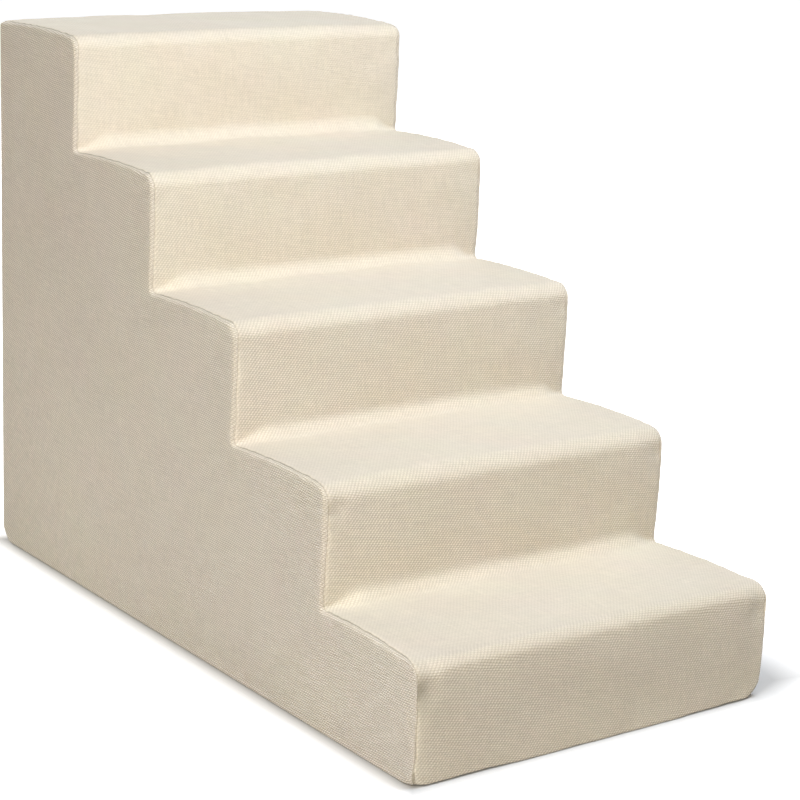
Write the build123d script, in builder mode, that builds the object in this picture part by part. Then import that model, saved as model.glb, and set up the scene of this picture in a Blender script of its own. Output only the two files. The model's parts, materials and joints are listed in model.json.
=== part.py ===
from build123d import *
from math import sqrt
import os

# Five-step foam stairs for a pet, in a removable cloth cover with a coil zip up the back.
# X runs across the treads, Y from the first riser to the back, Z up.
# The origin is on the floor, in the middle of the whole thing.

os.makedirs("parts", exist_ok=True)

# Stairs
step_count = 5
tread_depth = 152.4
top_tread_depth = 165.1
riser_height = 114.3
stair_width = 400.0

# Cloth cover over the foam
cloth_thickness = 1.6
cover_clearance = 0.3
tread_crown = 3.0
riser_crown = 1.5
riser_lean = 2.0
low_nosing_radius = 15.0
high_nosing_radius = 12.0
inner_corner_radius = 6.0
front_floor_radius = 7.0
back_floor_radius = 7.0
back_top_radius = 5.0
side_edge_radius = 4.0

# Seams between the panels of the cover
side_seam_inset = 4.5
base_seam_height = 3.5
back_seam_drop = 14.0

# Coil zip up the middle of the back
zip_opening_bottom = 42.0
zip_top_margin = 33.5
zip_opening_width = 12.0
tape_width = 14.0
tape_thickness = 0.6
tape_overlap = 12.0
row_gap = 1.2
coil_width = 2.6
coil_height = 2.2
coil_pitch = 2.6
coil_spine_width = 0.9
stop_length = 3.0
stop_rise = 0.6
running_gap = 0.3

# Slider on the zip
slider_length = 12.0
slider_tail_width = 9.0
slider_shoulder_width = 10.4
slider_shoulder_length = 5.0
slider_corner_radius = 1.5
slider_wall = 1.2
slider_neck_width = 0.6
slider_neck_length = 4.0
bail_length = 8.4
bail_width = 1.8
bail_thickness = 1.1
bail_corner_radius = 1.4

# Pull tab on the slider
tab_pin_radius = 0.7
tab_thickness = 1.2
tab_length = 26.0
tab_head_width = 6.2
tab_tail_width = 8.4
tab_eye_width = 3.0
tab_hole_radius = 1.6
tab_corner_radius = 2.0

# Hook and loop strips in the inner corners
strip_width = 18.0
strip_length = 340.0
strip_thickness = 1.0
strip_corner_distance = 5.0

# One overrun serves all cuts.
overrun = 20.0

# Legs of a bevel that just touches a rounding, as a share of the rounding's radius
touching_bevel_share = 2 - sqrt(2)

# Places that follow from the sizes above
stair_length = (step_count - 1) * tread_depth + top_tread_depth
stair_height = step_count * riser_height
zip_opening_top = stair_height - zip_top_margin
cloth_depth = cloth_thickness + cover_clearance
plate_height = coil_height + running_gap + slider_wall - cloth_depth
bail_height = running_gap + tab_pin_radius * 2 + running_gap + bail_thickness
# A leaning arc stands out less than its crown, by this much.
riser_bulge_drop = riser_lean / 2 - riser_lean**2 / riser_crown / 16
front_y = -(stair_length + plate_height + bail_height) / 2
back_y = front_y + stair_length
tape_outer_y = back_y - cloth_depth
tape_inner_y = tape_outer_y - tape_thickness
coil_outer_y = tape_outer_y + coil_height
plate_inner_y = coil_outer_y + running_gap
plate_outer_y = plate_inner_y + slider_wall
pin_y = plate_outer_y + running_gap + tab_pin_radius
row_edge = row_gap / 2 + coil_width
row_bottom = zip_opening_bottom + stop_length
row_top = zip_opening_top - stop_length
slider_z = row_bottom + running_gap + slider_length / 2
slider_travel = row_top - row_bottom - running_gap * 2 - slider_length


def riser_y(step):
    """Front of a riser, counted from 1, where the riser stands furthest forward."""
    return front_y + (step - 1) * tread_depth


def tread_z(step):
    """Top of a tread, counted from 1, at the highest place of its crown."""
    return step * riser_height


def glue_z(step):
    """Top of a foam slab, where the next one is glued on it."""
    return tread_z(step) - cloth_depth - tread_crown


def nosing_radius(step):
    """The lowest nosing is the softest, the highest the tightest."""
    climb_share = (step - 1) / max(step_count - 1, 1)
    return low_nosing_radius + (high_nosing_radius - low_nosing_radius) * climb_share


def solid_between(low, high, mode=Mode.ADD):
    """A block from its lowest corner to its highest one, in the part that is being built."""
    middle = tuple((a + b) / 2 for a, b in zip(low, high))
    sides = [b - a for a, b in zip(low, high)]
    with Locations(middle):
        Box(*sides, mode=mode)


def facing_back(y):
    """Plane of the back at one depth, seen from behind, with its second axis up."""
    return Plane(origin=(0, y, 0), x_dir=(-1, 0, 0), z_dir=(0, 1, 0))


def stair_body(inset):
    """The whole stairs, set in by inset: the outline run across the width, with softened sides.

    Each tread is a shallow arc that falls to its nosing and to its inner corner. Each riser is
    a shallow arc too, and its foot lies behind its nosing. The sides of the outer form are
    rounded. Inside, where nobody sees it, a flat bevel that touches the rounding does.
    """
    nosings = []
    feet = []
    for step in range(1, step_count + 1):
        nosing_y = riser_y(step) + inset + riser_crown - riser_bulge_drop
        foot_z = inset if step == 1 else tread_z(step - 1) - inset - tread_crown
        nosings.append((nosing_y, tread_z(step) - inset - tread_crown))
        feet.append((nosing_y + riser_lean, foot_z))
    back_top = (back_y - inset, tread_z(step_count) - inset - tread_crown)
    back_floor = (back_y - inset, inset)
    corner_radii = [(feet[0], front_floor_radius - inset)]
    corner_radii += [(back_top, back_top_radius - inset), (back_floor, back_floor_radius - inset)]
    corner_radii += [(place, inner_corner_radius + inset) for place in feet[1:]]
    for step, place in enumerate(nosings, start=1):
        corner_radii.append((place, nosing_radius(step) - inset))
    with BuildPart() as body:
        with BuildSketch(Plane.YZ) as outline:
            with BuildLine():
                for foot, nosing, tread_end in zip(feet, nosings, feet[1:] + [back_top]):
                    SagittaArc(foot, nosing, riser_crown)
                    SagittaArc(nosing, tread_end, tread_crown)
                Line(back_top, back_floor)
                Line(back_floor, feet[0])
            make_face()
            for place, radius in corner_radii:
                fillet(outline.vertices().sort_by_distance(Vector(*place))[0], radius)
        extrude(amount=stair_width / 2 - inset, both=True)
        ends = body.edges().group_by(Axis.X)
        if inset:
            chamfer(ends[0] + ends[-1], (side_edge_radius - inset) * touching_bevel_share)
        else:
            fillet(ends[0] + ends[-1], side_edge_radius)
    return body.part


def write_step(part, name):
    """Each piece is one file under its own name."""
    part.label = name
    export_step(part, f"parts/{name}.step")


# Cover: one closed skin, cut into its panels along the seams
with BuildPart() as cover:
    add(stair_body(0))
    add(stair_body(cloth_thickness), mode=Mode.SUBTRACT)

side_seam_x = stair_width / 2 - side_seam_inset
far_x = stair_width / 2 + overrun
far_front = front_y - overrun
far_back = back_y + overrun
far_top = stair_height + overrun
back_seam_z = stair_height - back_seam_drop

# Side panels: stair-shaped, with an edge that rolls over to the seam on every tread and riser
with BuildPart() as cover_right_side:
    add(cover.part)
    solid_between((side_seam_x, far_front, base_seam_height), (far_x, far_back, far_top), Mode.INTERSECT)
write_step(cover_right_side.part, "cover_right_side")

with BuildPart() as cover_left_side:
    mirror(cover_right_side.part, about=Plane.YZ)
write_step(cover_left_side.part, "cover_left_side")

# Step band: one strip that is all the treads and all the risers
with BuildPart() as cover_step_band:
    add(cover.part)
    solid_between(
        (-side_seam_x, far_front, base_seam_height), (side_seam_x, far_back, far_top), Mode.INTERSECT
    )
    solid_between((-far_x, back_y - overrun, -overrun), (far_x, far_back, back_seam_z), Mode.SUBTRACT)
write_step(cover_step_band.part, "cover_step_band")

# Back panels: two halves, sewn together above and below the opening of the zip
with BuildPart() as cover_back_right:
    add(cover.part)
    solid_between(
        (0, back_y - overrun, base_seam_height), (side_seam_x, far_back, back_seam_z), Mode.INTERSECT
    )
    solid_between(
        (-zip_opening_width / 2, back_y - overrun, zip_opening_bottom),
        (zip_opening_width / 2, far_back, zip_opening_top),
        Mode.SUBTRACT,
    )
write_step(cover_back_right.part, "cover_back_right")

with BuildPart() as cover_back_left:
    mirror(cover_back_right.part, about=Plane.YZ)
write_step(cover_back_left.part, "cover_back_left")

# Base: the non-slip bottom, with an edge that turns up to the seam all round
with BuildPart() as cover_base:
    add(cover.part)
    solid_between((-far_x, far_front, -overrun), (far_x, far_back, base_seam_height), Mode.INTERSECT)
write_step(cover_base.part, "cover_base")

# Foam core: slabs glued on each other, each a tread shorter than the one below
core = stair_body(cloth_depth)
tape_edge = row_gap / 2 + tape_width
tape_bottom = zip_opening_bottom - tape_overlap
tape_top = zip_opening_top + tape_overlap
slider_channel_edge = slider_shoulder_width / 2 + running_gap
slider_channel_y = tape_inner_y - running_gap - slider_wall - running_gap


def strip_front(step):
    """Front edge of the strips on a tread, which lie beside the riser behind them."""
    return riser_y(step + 1) - strip_corner_distance - strip_width


for step in range(1, step_count + 1):
    layer_bottom = glue_z(step - 1) if step > 1 else -overrun
    layer_top = glue_z(step) if step < step_count else far_top
    tread_end = riser_y(step + 1) if step < step_count else far_back
    layer_front = riser_y(step) if step > 1 else far_front
    with BuildPart() as region:
        solid_between((-far_x, layer_front, layer_bottom), (far_x, far_back, layer_top))
        if step < step_count:
            solid_between((-far_x, layer_front, layer_bottom), (far_x, tread_end, layer_top + overrun))
    with BuildPart() as foam_slab:
        add(core)
        add(region.part, mode=Mode.INTERSECT)
        if step < step_count:
            pocket_floor = glue_z(step) - strip_thickness * 2
            solid_between(
                (
                    -strip_length / 2 - cover_clearance,
                    strip_front(step) - cover_clearance,
                    pocket_floor,
                ),
                (
                    strip_length / 2 + cover_clearance,
                    strip_front(step) + strip_width + cover_clearance,
                    pocket_floor + overrun,
                ),
                Mode.SUBTRACT,
            )
        solid_between(
            (-tape_edge - running_gap, tape_inner_y - cover_clearance, tape_bottom - running_gap),
            (tape_edge + running_gap, far_back, tape_top + running_gap),
            Mode.SUBTRACT,
        )
        solid_between(
            (-slider_channel_edge, slider_channel_y, tape_bottom - running_gap),
            (slider_channel_edge, far_back, tape_top + running_gap),
            Mode.SUBTRACT,
        )
    write_step(foam_slab.part, f"foam_slab_{step}")

# In each inner corner a hook strip is glued in a pocket of the foam, with a loop strip on top of it
# that is sewn under the cover, where the tread lies lowest
for step in range(1, step_count):
    for name, top in (("loop", glue_z(step)), ("hook", glue_z(step) - strip_thickness)):
        with BuildPart() as strip:
            solid_between(
                (-strip_length / 2, strip_front(step), top - strip_thickness),
                (strip_length / 2, strip_front(step) + strip_width, top),
            )
        write_step(strip.part, f"corner_{name}_strip_{step}")


def coil_row(side, phase_share):
    """One row of the coil, a zigzag from behind: a spine on the tape and a tip at every loop."""
    loop_count = int((row_top - row_bottom) / coil_pitch - phase_share)
    tip_x = -side * row_gap / 2
    root_x = -side * (row_edge - coil_spine_width)
    spine_x = -side * row_edge
    first_loop_z = row_bottom + coil_pitch * phase_share
    zigzag = []
    for loop in range(loop_count):
        loop_z = first_loop_z + coil_pitch * loop
        zigzag += [(root_x, loop_z), (tip_x, loop_z + coil_pitch / 2)]
    last_root = (root_x, first_loop_z + coil_pitch * loop_count)
    ends = [last_root, (root_x, row_top), (spine_x, row_top), (spine_x, row_bottom)]
    with BuildPart() as row:
        with BuildSketch(facing_back(tape_outer_y)):
            with BuildLine():
                Polyline((root_x, row_bottom), *zigzag, *ends, close=True)
            make_face()
        extrude(amount=coil_height)
    return row.part


# Zip: a woven tape and a coil row on each side, with tips that face the roots of the other row
for name, side, phase_share in (("right", 1, 1 / 4), ("left", -1, 3 / 4)):
    with BuildPart() as zip_tape:
        solid_between(
            (min(side * row_gap / 2, side * tape_edge), tape_inner_y, tape_bottom),
            (max(side * row_gap / 2, side * tape_edge), tape_outer_y, tape_top),
        )
    write_step(zip_tape.part, f"zip_tape_{name}")
    write_step(coil_row(side, phase_share), f"zip_coil_{name}")

with BuildPart() as zip_upper_stop:
    solid_between(
        (-row_edge, tape_outer_y, row_top),
        (row_edge, coil_outer_y + stop_rise, zip_opening_top),
    )
write_step(zip_upper_stop.part, "zip_upper_stop")

with BuildPart() as zip_lower_stops:
    for side in (-1, 1):
        solid_between(
            (min(side * row_gap / 2, side * row_edge), tape_outer_y, zip_opening_bottom),
            (max(side * row_gap / 2, side * row_edge), coil_outer_y + stop_rise, row_bottom),
        )
write_step(zip_lower_stops.part, "zip_lower_stops")


def slider_outline():
    """Outline of both plates of the slider: wide shoulders below, a narrower tail above."""
    shoulder = slider_shoulder_width / 2
    tail = slider_tail_width / 2
    bottom = slider_z - slider_length / 2
    corners = [
        (-shoulder, bottom),
        (shoulder, bottom),
        (shoulder, bottom + slider_shoulder_length),
        (tail, bottom + slider_length),
        (-tail, bottom + slider_length),
        (-shoulder, bottom + slider_shoulder_length),
    ]
    with BuildSketch(mode=Mode.PRIVATE) as outline:
        with BuildLine():
            Polyline(*corners, close=True)
        make_face()
        fillet(outline.vertices(), slider_corner_radius)
    return outline.sketch


# Slider: two plates round the coil, joined by a neck between the rows, with a bail for the tab
plate_outline = slider_outline()
with BuildPart() as zip_slider:
    with BuildSketch(facing_back(tape_outer_y + running_gap)):
        add(plate_outline)
    extrude(amount=coil_height + slider_wall)
    solid_between(
        (-row_edge - running_gap, tape_outer_y, slider_z - slider_length),
        (row_edge + running_gap, plate_inner_y, slider_z + slider_length),
        Mode.SUBTRACT,
    )
    with BuildSketch(facing_back(tape_inner_y - running_gap - slider_wall)):
        add(plate_outline)
    extrude(amount=slider_wall)
    solid_between(
        (-slider_neck_width / 2, tape_inner_y - running_gap - slider_wall, slider_z - slider_length / 2),
        (slider_neck_width / 2, plate_outer_y, slider_z - slider_length / 2 + slider_neck_length),
    )
    with BuildSketch(Plane.YZ) as bail_side:
        with Locations((plate_outer_y + bail_height / 2, slider_z)):
            Rectangle(bail_height, bail_length)
        fillet(bail_side.vertices().group_by(Axis.X)[-1], bail_corner_radius)
        with Locations((plate_outer_y + (bail_height - bail_thickness) / 2, slider_z)):
            Rectangle(
                bail_height - bail_thickness, bail_length - bail_thickness * 2, mode=Mode.SUBTRACT
            )
    extrude(amount=bail_width / 2, both=True)
write_step(zip_slider.part, "zip_slider")

# Pull tab: a flat tab whose pin lies under the bail, with an eye that clears the bail as it swings
eye_depth = Vector(bail_length / 2, bail_height - running_gap - tab_pin_radius).length + running_gap
with BuildPart() as zip_pull_tab:
    with BuildSketch(facing_back(pin_y - tab_thickness / 2)) as tab_face:
        with BuildLine():
            Polyline(
                (-tab_head_width / 2, slider_z),
                (tab_head_width / 2, slider_z),
                (tab_tail_width / 2, slider_z - tab_length),
                (-tab_tail_width / 2, slider_z - tab_length),
                close=True,
            )
        make_face()
        fillet(tab_face.vertices().group_by(Axis.Y)[0], tab_corner_radius)
        with Locations((0, slider_z - eye_depth / 2)):
            Rectangle(tab_eye_width, eye_depth, mode=Mode.SUBTRACT)
        with Locations((0, slider_z - tab_length + tab_corner_radius + tab_hole_radius)):
            Circle(tab_hole_radius, mode=Mode.SUBTRACT)
    extrude(amount=tab_thickness)
    with Locations(Location((0, pin_y, slider_z), (0, 90, 0))):
        Cylinder(tab_pin_radius, tab_head_width)
write_step(zip_pull_tab.part, "zip_pull_tab")

print(f"zip slider: {slider_travel:.1f} mm of travel from z {slider_z:.2f}, pin at y {pin_y:.3f}")
print(f"coil rows: {(row_top - row_bottom) / coil_pitch:.0f} loops each")
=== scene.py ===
# %% [markdown]
# # Pet stairs in a linen-look cover
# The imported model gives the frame: five foam slabs, a closed cloth cover, a coil zip up the back
# and the strips in the inner corners. This script dresses it. Every visible piece of cloth is
# worked out again as a soft surface in the same place, and every piece gets its material.

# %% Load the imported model
import json
import math

import bmesh
import bpy
import numpy as np
from mathutils import Matrix, Vector

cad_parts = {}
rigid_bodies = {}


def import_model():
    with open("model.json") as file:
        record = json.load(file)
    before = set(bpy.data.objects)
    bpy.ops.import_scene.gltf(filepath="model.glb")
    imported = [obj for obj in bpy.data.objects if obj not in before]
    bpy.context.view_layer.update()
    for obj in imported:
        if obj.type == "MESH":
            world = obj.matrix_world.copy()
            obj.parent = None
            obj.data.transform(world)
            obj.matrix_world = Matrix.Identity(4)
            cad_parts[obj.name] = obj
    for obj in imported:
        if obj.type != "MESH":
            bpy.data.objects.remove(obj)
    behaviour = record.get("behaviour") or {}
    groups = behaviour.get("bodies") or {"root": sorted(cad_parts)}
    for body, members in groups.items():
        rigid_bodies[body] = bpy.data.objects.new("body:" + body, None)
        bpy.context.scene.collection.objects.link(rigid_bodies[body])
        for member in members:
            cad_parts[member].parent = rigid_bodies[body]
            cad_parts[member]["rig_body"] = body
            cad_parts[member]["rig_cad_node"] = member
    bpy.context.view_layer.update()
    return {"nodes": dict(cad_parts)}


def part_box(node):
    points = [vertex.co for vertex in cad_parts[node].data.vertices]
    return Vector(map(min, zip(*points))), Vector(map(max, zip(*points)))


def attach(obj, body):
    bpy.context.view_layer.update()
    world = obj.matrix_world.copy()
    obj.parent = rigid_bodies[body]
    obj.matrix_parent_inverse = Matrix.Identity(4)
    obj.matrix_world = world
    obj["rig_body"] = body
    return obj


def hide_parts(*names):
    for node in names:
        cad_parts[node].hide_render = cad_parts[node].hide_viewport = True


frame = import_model()

# %% [markdown]
# ## Sizes
# All lengths are in metres. The depth and the width come from the imported model itself, so the soft
# surfaces follow it. The sizes of a step and the small values of the sewing are given.

# %% Read the main sizes from the model
MM = 0.001
side_low, side_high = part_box("cover_left_side")
front_y = side_low.y
back_y = side_high.y
half_width = -side_low.x
step_count = 5
riser_height = 114.3 * MM
tread_depth = 152.4 * MM
stair_height = step_count * riser_height
tread_crown = 3.0 * MM
riser_crown = 1.5 * MM
seam_x = half_width - 4.5 * MM
base_seam_z = 2.0 * MM
back_seam_z = stair_height - 14 * MM
cloth_thickness = 1.1 * MM
print(f"stairs {half_width * 2:.3f} wide, {back_y - front_y:.3f} deep, {stair_height:.3f} high")

# %% [markdown]
# ## The outline of the stairs
# Seen from the side, the cover runs up the stairs from the front floor corner to the top of the
# back, and back to that corner along the floor. Both ways are polygons with rounded corners. They
# could be drawn as curves, but a function is handier here: it gives the point at any share of any
# side, moved in or out by any amount, for whole arrays at once. Every panel below is made with it,
# so neighbouring panels meet.

# %% Define the outline as a function of side, share and inset
nosing_setback = 0.7 * MM
foot_setback = 2.7 * MM
edge_level = stair_height - tread_crown


def stair_corners(foot, top):
    """Corners of the way up the stairs: position, direction inwards, radius, bend, and tightening.

    Bend is 1 at a corner that sticks out and -1 at an inner corner. Tightening says how much of
    the cloth's tautness the radius loses: the lowest nosing is the tightest.
    """
    rows = [foot]
    for step in range(step_count):
        y = front_y + step * tread_depth
        z = (step + 1) * riser_height - tread_crown
        nosing_radius = (15 - 3 * step / (step_count - 1)) * MM
        tightening = 1 if step == 0 else 0.1
        rows.append((y + nosing_setback, z, 1, -1, nosing_radius, 1, tightening))
        if step < step_count - 1:
            rows.append((y + tread_depth + foot_setback, z, 1, -1, 6 * MM, -1, -2.2))
    return np.array(rows + [top])


def outline(corners, turn, side, share, inset, tautness=0.0):
    """Points (y, z) of a polygon with rounded corners, moved inwards by inset.

    Each corner moves along its own inward diagonal. Between two corners the point goes straight.
    Nearer to a corner than its radius, the way left becomes an angle from 0 to 45 degrees on the
    arc, so the corner itself is the middle of the arc. An outward corner's radius shrinks by the
    inset down to nothing, and an inner corner's radius grows by it. Tautness changes it too, by
    each corner's own share: taut cloth is tight round a nosing, and spans an inner corner in a wide
    curve. turn is 1 where the inside lies right of the way, and -1 where it lies left.
    """
    side, share, inset = np.broadcast_arrays(side, share, inset)
    a, b = corners[side], corners[side + 1]
    start = a[..., :2] + inset[..., None] * a[..., 2:4]
    end = b[..., :2] + inset[..., None] * b[..., 2:4]
    way = end - start
    length = np.linalg.norm(way, axis=-1)
    along = way / length[..., None]
    inward = turn * np.stack([along[..., 1], -along[..., 0]], -1)
    radius_a = np.maximum(a[..., 4] - a[..., 5] * inset - a[..., 6] * tautness, 1e-6)
    radius_b = np.maximum(b[..., 4] - b[..., 5] * inset - b[..., 6] * tautness, 1e-6)
    angle_a = np.clip(1 - share * length / radius_a, 0, 1) * math.pi / 4
    angle_b = np.clip(1 - (1 - share) * length / radius_b, 0, 1) * math.pi / 4
    reach = np.where(angle_a > 0, radius_a * (1 - np.sin(angle_a)), share * length)
    reach = np.where(angle_b > 0, length - radius_b * (1 - np.sin(angle_b)), reach)
    dip = a[..., 5] * radius_a * (1 - np.cos(angle_a)) + b[..., 5] * radius_b * (1 - np.cos(angle_b))
    return start + along * reach[..., None] + inward * dip[..., None]


def ramps(*stretches):
    """Evenly spaced numbers, stretch after stretch: start, end and count. Each end is left out."""
    return np.concatenate([np.linspace(*stretch, endpoint=False) for stretch in stretches])


def samples(corners, fine, coarse, arc_points):
    """Side numbers and shares along the whole way: close together on the arcs, wider between."""
    sides, shares = [], []
    for index, (a, b) in enumerate(zip(corners[:-1], corners[1:])):
        length = math.hypot(b[0] - a[0], b[1] - a[1])
        near_a = a[4] + fine
        near_b = length - (b[4] + fine)
        middle = max(int(round((near_b - near_a) / coarse)), 2)
        stops = ramps((0, near_a, arc_points), (near_a, near_b, middle), (near_b, length, arc_points))
        shares.append(stops / length)
        sides.append(np.full(len(stops), index))
    sides.append([len(corners) - 2])
    shares.append([1.0])
    return np.concatenate(sides), np.concatenate(shares)


def way_length(points):
    """Length walked along a row of points, starting at 0."""
    return np.concatenate([[0.0], np.cumsum(np.linalg.norm(np.diff(points, axis=0), axis=1))])


foot_corner = (front_y + foot_setback, 0.0, 1, 1, 3 * MM, 1, 0)
heel_corner = (back_y, 0.0, -1, 1, 7 * MM, 1, 0)
top_corner = (back_y, edge_level, -1, -1, 5 * MM, 1, 0)
stairs_way = stair_corners(foot_corner, top_corner)
base_way = np.array([foot_corner, heel_corner, top_corner])
side_no, side_share = samples(stairs_way, fine=17 * MM, coarse=4.5 * MM, arc_points=17)
profile = outline(stairs_way, 1, side_no, side_share, 0.0)
profile_length = way_length(profile)
print(f"{len(profile)} points on the way up, {profile_length[-1]:.3f} m of cloth")

# %% [markdown]
# ## Soft unevenness
# Cloth over foam is never quite flat. Broad, faint swells could come from a displacement texture,
# but then the panels would part at the seams. A sum of waves with fixed random directions is a plain
# function, so two panels that ask for the same place get the same height.


# %% Define swells, puckers and the wobble of the seams
def smooth_step(value, low, high):
    """Rises from 0 at low to 1 at high without a corner."""
    t = np.clip((value - low) / (high - low), 0, 1)
    return t * t * (3 - 2 * t)


def bell(value, middle, width):
    """A bell curve: 1 at its middle, and about a third at the width from it."""
    return np.exp(-(((value - middle) / width) ** 2))


def swells(a, b, size, seed, count=9):
    """Smooth random heights, mostly from -1 to 1: cosine waves in random directions.

    Their sum is divided by the square root of their count, so that it stays about as high.
    """
    rng = np.random.default_rng(seed)
    total = np.zeros(np.broadcast(a, b).shape)
    for _ in range(count):
        heading = rng.uniform(0, 2 * math.pi)
        wave = 2 * math.pi / (size * rng.uniform(0.6, 1.7))
        phase = rng.uniform(0, 2 * math.pi)
        total = total + np.cos(wave * (a * math.cos(heading) + b * math.sin(heading)) + phase)
    return total / math.sqrt(count)


def seam_wobble(way, seed):
    """How far the side seam strays from its line, by the length walked along it.

    On the lowest riser it lies nearly on the corner, and it comes in again on the first tread.
    """
    upright = 1 - smooth_step(way, riser_height - 14 * MM, riser_height + 30 * MM)
    return 3.0 * MM * upright + 0.5 * MM * swells(way, 0 * way, 38 * MM, seed, 6)


def seam_pull(way, seed):
    """How hard the stitches pull the cloth down, from 0 to 1.3, by the length along the seam."""
    return np.clip(0.55 + 0.45 * swells(way, 0 * way, 13 * MM, seed, 7), 0, 1.3)


def dive_depth(edge, reach, depth):
    """Depth of cloth that turns into a seam: a quarter ellipse over the last bit of its width."""
    return depth * (1 - np.sqrt(np.clip(1 - (1 - np.clip(edge / reach, 0, 1)) ** 2, 0, 1)))


# %% Define the rounded foot and the wider front
def rounded_foot(points, foot=22 * MM):
    """Rounds the four upright corners near the floor: sharp at the height of foot, and round below.

    The radius is foot times the share of the drop to the power of one and a half. A point within
    that radius of both walls is drawn in from the square corner to the circle.
    """
    radius = foot * (1 - np.clip(points[..., 2:] / foot, 0, 1)) ** 1.5
    half_size = np.array([half_width, (back_y - front_y) / 2])
    off = points[..., :2] - np.array([0.0, (front_y + back_y) / 2])
    inner = np.maximum(np.abs(off) - (half_size - radius), 0)
    both = (inner > 0).all(-1, keepdims=True)
    share = inner.max(-1, keepdims=True) / np.maximum(np.hypot(inner[..., :1], inner[..., 1:]), 1e-9)
    moved = points.copy()
    moved[..., :2] -= np.sign(off) * inner * np.where(both, 1 - share, 0)
    return moved


widening = {"left": 6 * MM, "right": 1.5 * MM}


def wider_front(points):
    """Widens the lowest step towards the front, more on the left: the cover sits askew there.

    The share is the larger of two: along the floor it grows evenly towards the front, and on the
    first step it fades out over the depth of the tread.
    """
    ahead = points[..., 1:2] - front_y
    height = points[..., 2:]
    forward = np.clip(1 - ahead / (back_y - front_y), 0, 1)
    along_floor = forward * (1 - smooth_step(height, 5 * MM, 98 * MM))
    first_step = (1 - smooth_step(ahead, 5 * MM, 150 * MM)) * (1 - smooth_step(height, 118 * MM, 150 * MM))
    extra = np.where(points[..., :1] < 0, widening["left"], widening["right"])
    moved = points.copy()
    moved[..., :1] *= 1 + extra / half_width * np.maximum(along_floor, first_step)
    return moved


# %% [markdown]
# ## From arrays to a mesh
# A grid of points becomes a mesh in one go: rows and columns give the faces, from_pydata takes them,
# and the cloth map is filled with foreach_set. Points that fall on each other at a pole are merged.


# %% Define the grid builder
def side_by_side(*parts):
    """Arrays brought to one shape and put side by side, as the parts of a place."""
    return np.stack(np.broadcast_arrays(*parts), -1)


def grid_faces(rows, columns, flip=False):
    """Quads of a grid whose points are stored row after row."""
    corner = np.arange(rows - 1)[:, None] * columns + np.arange(columns - 1)[None, :]
    quads = np.stack([corner, corner + 1, corner + columns + 1, corner + columns], -1).reshape(-1, 4)
    return (quads[:, ::-1] if flip else quads).tolist()


def make_mesh(name, points, faces, cloth_map=None, values=None):
    """A mesh object at the origin from an array of points and a list of faces, smooth shaded.

    cloth_map holds a flat position in metres for every point, and values named numbers for
    every point.
    """
    mesh = bpy.data.meshes.new(name)
    mesh.from_pydata(points.reshape(-1, 3).tolist(), [], faces)
    if cloth_map is not None:
        layer = mesh.uv_layers.new(name="cloth")
        loops = np.zeros(len(mesh.loops), dtype=np.int32)
        mesh.loops.foreach_get("vertex_index", loops)
        layer.data.foreach_set("uv", cloth_map.reshape(-1, 2)[loops].astype(np.float32).ravel())
    for key, value in (values or {}).items():
        attribute = mesh.attributes.new(key, "FLOAT", "POINT")
        attribute.data.foreach_set("value", value.astype(np.float32).ravel())
    mesh.polygons.foreach_set("use_smooth", np.ones(len(mesh.polygons), dtype=bool))
    mesh.validate()
    piece = bpy.data.objects.new(name, mesh)
    bpy.context.scene.collection.objects.link(piece)
    return piece


def weld(piece, distance):
    """Merges points closer than distance, and dissolves faces that have lost their area."""
    body = bmesh.new()
    body.from_mesh(piece.data)
    bmesh.ops.remove_doubles(body, verts=body.verts, dist=distance)
    bmesh.ops.dissolve_degenerate(body, edges=body.edges, dist=distance / 4)
    body.to_mesh(piece.data)
    body.free()
    return piece


def thicken(piece, thickness):
    """Gives a surface its cloth thickness, all of it behind the face."""
    wall = piece.modifiers.new("cloth thickness", "SOLIDIFY")
    wall.thickness = thickness
    wall.offset = -1
    wall.use_even_offset = False
    return piece


# %% [markdown]
# ## The step band
# One long strip of cloth is all the treads and all the risers. On the real cover it is sewn to the
# side panels along both edges, so it is pulled down there and swells between. Cloth simulation
# could find that shape, but the cover is stretched over a firm block, and the photograph shows few
# folds. So the strip is a grid: one parameter walks up the stairs, the other goes across. Its
# height is a sum of plain parts: the crown, the sink at the seam, the puckers of the stitches, the
# ease at each nosing, and the faint swells.

# %% Define the height of the step band
band_seed = 11
pull_seed = 12
seam_depth = 1.5 * MM


def crown_height(side, share):
    """The crown of a tread or a riser along its side: a parabola, highest halfway."""
    return np.where(side % 2 == 1, tread_crown, riser_crown) * 4 * share * (1 - share)


def step_rise(side, share, way, x, edge):
    """Height of the band's surface over the plain outline.

    To the crown along a side comes a second, flatter one across. edge is the distance from the
    side seam, where the cloth dives into the seam along a quarter ellipse. Towards an inner corner
    the cloth leaves the foam and bridges the corner, away from the seams.
    """
    to_corner = np.where(side % 2 == 1, (1 - share) * tread_depth, share * riser_height)
    has_corner = (side > 0) & (side < 2 * step_count - 1)
    bridge = 3.4 * MM * has_corner * np.exp(-to_corner / (24 * MM)) * smooth_step(edge, 3 * MM, 40 * MM)
    broad = 1.6 * MM * (1 - (x / seam_x) ** 2)
    sink = -0.9 * MM * seam_pull(way, pull_seed) * np.exp(-edge / (7 * MM))
    dive = -dive_depth(edge, 2.4 * MM, seam_depth)
    faint = 0.55 * MM * swells(way, x, 95 * MM, band_seed) * smooth_step(edge, 0, 40 * MM)
    small = 0.22 * MM * swells(way, x, 30 * MM, band_seed + 5) * smooth_step(edge, 2 * MM, 25 * MM)
    return crown_height(side, share) + bridge + broad + sink + dive + faint + small


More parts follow.
